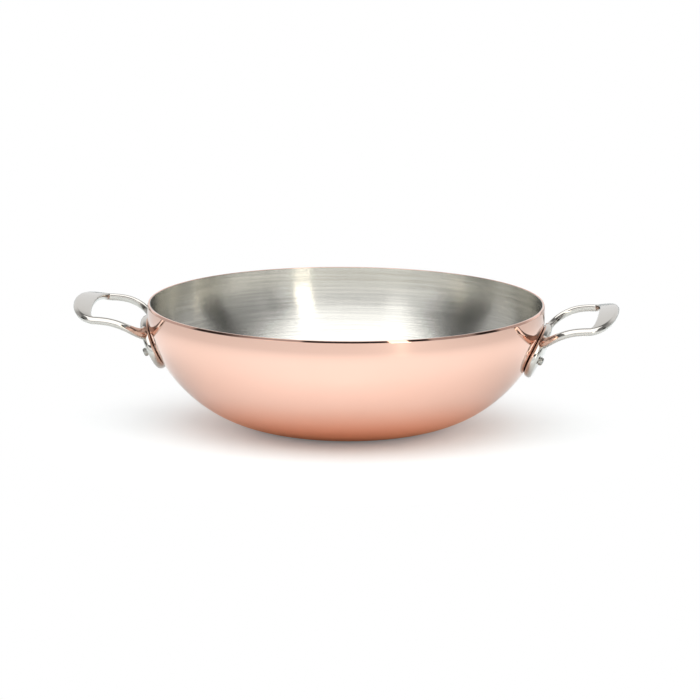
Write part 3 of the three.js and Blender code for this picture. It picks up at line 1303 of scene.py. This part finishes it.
@dataclass(frozen=True)
class Surroundings:
    """The room: white to the camera, a light tent to the floor, and walls in a mirror.

    A wall's bearing is in degrees from the viewer towards the right, and comes with the wall's level.
    Heights and sides are parts of a unit vector. In front of the pan a light sweep rises to the walls' foot.
    """

    walls: tuple[tuple[float, float], ...] = (
        (-145, 0.88), (-130, 0.50), (-108, 0.50), (-96, 0.46), (-92, 0.03), (-74, 0.03), (-66, 0.12),
        (-54, 0.30), (-44, 0.45), (-23, 0.46), (-20, 0.01), (55, 0.01), (58, 0.38), (78, 0.30),
        (85, 0.30), (89, 0.02), (103, 0.02), (107, 0.42), (130, 0.45), (145, 0.88))
    wall_top: float = 0.45
    ceiling: float = 0.75
    ceiling_level: float = 0.20
    sweep_level: float = 1.15
    sweep_top: float = 0.34
    sweep_end: float = 0.40
    sweep_side: float = 0.40
    sweep_ahead: float = 0.78
    tent_front: float = 0.15
    tent_side: float = 1.80
    tent_from: float = 0.30
    tent_to: float = 0.80

    def build(self) -> None:
        """Sets the world's nodes: a tent for the floor, the room for metal and white for the camera."""
        world = bpy.data.worlds.new("studio")
        bpy.context.scene.world = world
        world.use_nodes = True
        sheet = NodeSheet(world.node_tree)
        path = sheet.add("ShaderNodeLightPath")
        right, back, up = sheet.split(sheet.add("ShaderNodeTexCoord").outputs["Generated"])
        ahead = sheet.math("MULTIPLY", back, -1.0)
        sideways = sheet.math("ABSOLUTE", right)
        tent = sheet.ramp(sideways, self.tent_from, self.tent_to, self.tent_front, self.tent_side)
        above = sheet.ramp(up, self.wall_top, self.ceiling, 0.0, 1.0)
        below = sheet.ramp(up, self.sweep_top, self.sweep_end, 1.0, 0.0)
        in_front = sheet.ramp(ahead, self.sweep_side, self.sweep_ahead, 0.0, 1.0)
        share = sheet.math("MULTIPLY", below, in_front)
        walls = self.light(sheet, self.wall_levels(sheet, sheet.math("ARCTAN2", right, ahead)))
        roofed = sheet.lay(above, walls, self.light(sheet, self.ceiling_level))
        swept = sheet.lay(share, roofed, self.light(sheet, self.sweep_level))
        mirror = sheet.lay(path.outputs["Is Glossy Ray"], self.light(sheet, tent), swept)
        seen = sheet.lay(path.outputs["Is Camera Ray"], mirror, self.light(sheet, 1.0))
        sheet.add("ShaderNodeOutputWorld", seen)

    @staticmethod
    def light(sheet: NodeSheet, level: Value) -> NodeSocket:
        """White light of a level, which is a number or a socket."""
        return sheet.add("ShaderNodeBackground", WHITE, level).outputs[0]

    def wall_levels(self, sheet: NodeSheet, bearing: NodeSocket) -> NodeSocket:
        """The level of the walls at a bearing.

        Args:
            sheet: The sheet to draw on.
            bearing: The bearing's socket, in radians.

        Returns:
            The level's socket.
        """
        turn = sheet.ramp(bearing, -math.pi, math.pi, 0.0, 1.0, Easing.EVEN)
        walls = sheet.add("ShaderNodeValToRGB", turn)
        steps = walls.color_ramp.elements
        steps.remove(steps[1])
        for index, (degrees, level) in enumerate(self.walls):
            place = (degrees + 180) / 360
            step = steps.new(place) if index else steps[0]
            step.position = place
            step.color = (level, level, level, 1)
        return walls.outputs["Color"]


@dataclass(frozen=True)
class PhotoCamera:
    """The photograph's camera: a long lens, a little above the rim and a little to the right."""

    target: Triple = (0.0, 0.0, 0.05)
    distance: float = 4.0
    azimuth: float = math.radians(5.24)
    elevation: float = math.radians(11.55)
    roll: float = math.radians(-0.33)
    frame_pixels: float = 700.0
    focal_pixels: float = 4956.4
    sensor: float = 36.0
    target_pixel: tuple[float, float] = (345.9, 363.5)
    nearest: float = 0.1
    farthest: float = 60.0

    def build(self) -> None:
        """Aims the camera and makes it the scene's own."""
        data = bpy.data.cameras.new("photo_camera")
        data.sensor_width = self.sensor
        data.lens = self.focal_pixels / self.frame_pixels * self.sensor
        middle = self.frame_pixels / 2
        data.shift_x = (middle - self.target_pixel[0]) / self.frame_pixels
        data.shift_y = (self.target_pixel[1] - middle) / self.frame_pixels
        data.clip_start = self.nearest
        data.clip_end = self.farthest
        camera = bpy.data.objects.new("photo_camera", data)
        bpy.context.scene.collection.objects.link(camera)
        level = math.cos(self.elevation)
        across = math.sin(self.azimuth) * level
        back = Vector((across, -math.cos(self.azimuth) * level, math.sin(self.elevation)))
        camera.location = Vector(self.target) + back * self.distance
        aim = (-back).to_track_quat("-Z", "Y").to_matrix().to_4x4()
        camera.rotation_mode = "QUATERNION"
        camera.rotation_quaternion = (aim @ Matrix.Rotation(-self.roll, 4, "Z")).to_quaternion()
        bpy.context.scene.camera = camera


@dataclass
class Studio:
    """Floor, lamps, surroundings and camera."""

    floor: PaleFloor = PaleFloor()
    room: Surroundings = Surroundings()
    camera: PhotoCamera = PhotoCamera()
    lamps: tuple[SoftBox, ...] = (
        SoftBox(
            "top_scrim", place=(0.0, -0.54, 1.399), aim=(0.0, -0.398, 0.026), width=2.0, depth=2.08,
            radiance=1.57),
        SoftBox(
            "strip_light", place=(0.504, -0.745, 0.45), aim=(0.0, 0.0, 0.45), width=0.172, depth=0.86,
            radiance=2.2, colour=WARM_LIGHT),
        SoftBox(
            "strip_spill", place=(0.31, -0.485, 0.05), aim=(0.307, -0.481, 0.0), width=0.03, depth=0.30,
            radiance=1.2, colour=WARM_LIGHT, mirrored=False),
    )

    def build(self) -> None:
        """Sets up the studio."""
        for fitting in (self.camera, self.floor, self.room, *self.lamps):
            fitting.build()
        bpy.context.scene.view_settings.view_transform = "Standard"


def main() -> None:
    """Builds the studio and the pan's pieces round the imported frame."""
    logging.basicConfig(level=logging.INFO, format="%(name)s: %(message)s")
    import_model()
    Studio().build()
    wall = BowlWall()

    shell = CopperShell(wall)
    bowl = shell.build()
    shell.dress(bowl)

    lining = SteelLining(wall)
    lining.dress(lining.build())

    handle = LoopHandle(wall)
    right = handle.build(bowl)
    right.name = "cast_handle_right"
    left = copy_of(right, "cast_handle_left")
    turn_to(left, Side.LEFT)
    handle.dress(right, Side.RIGHT)
    handle.dress(left, Side.LEFT)

    rivet = WallRivet(wall)
    pattern = rivet.build("rivet_pattern", handle.plate_front)
    for side in Side:
        for place in Place:
            node = f"rivet_{side.name}_{place.name}".lower()
            piece = copy_of(pattern, f"wall_{node}")
            rivet.set_in(piece, side, place)
            rivet.dress(piece, node)
    remove(pattern)


if __name__ == "__main__":
    main()
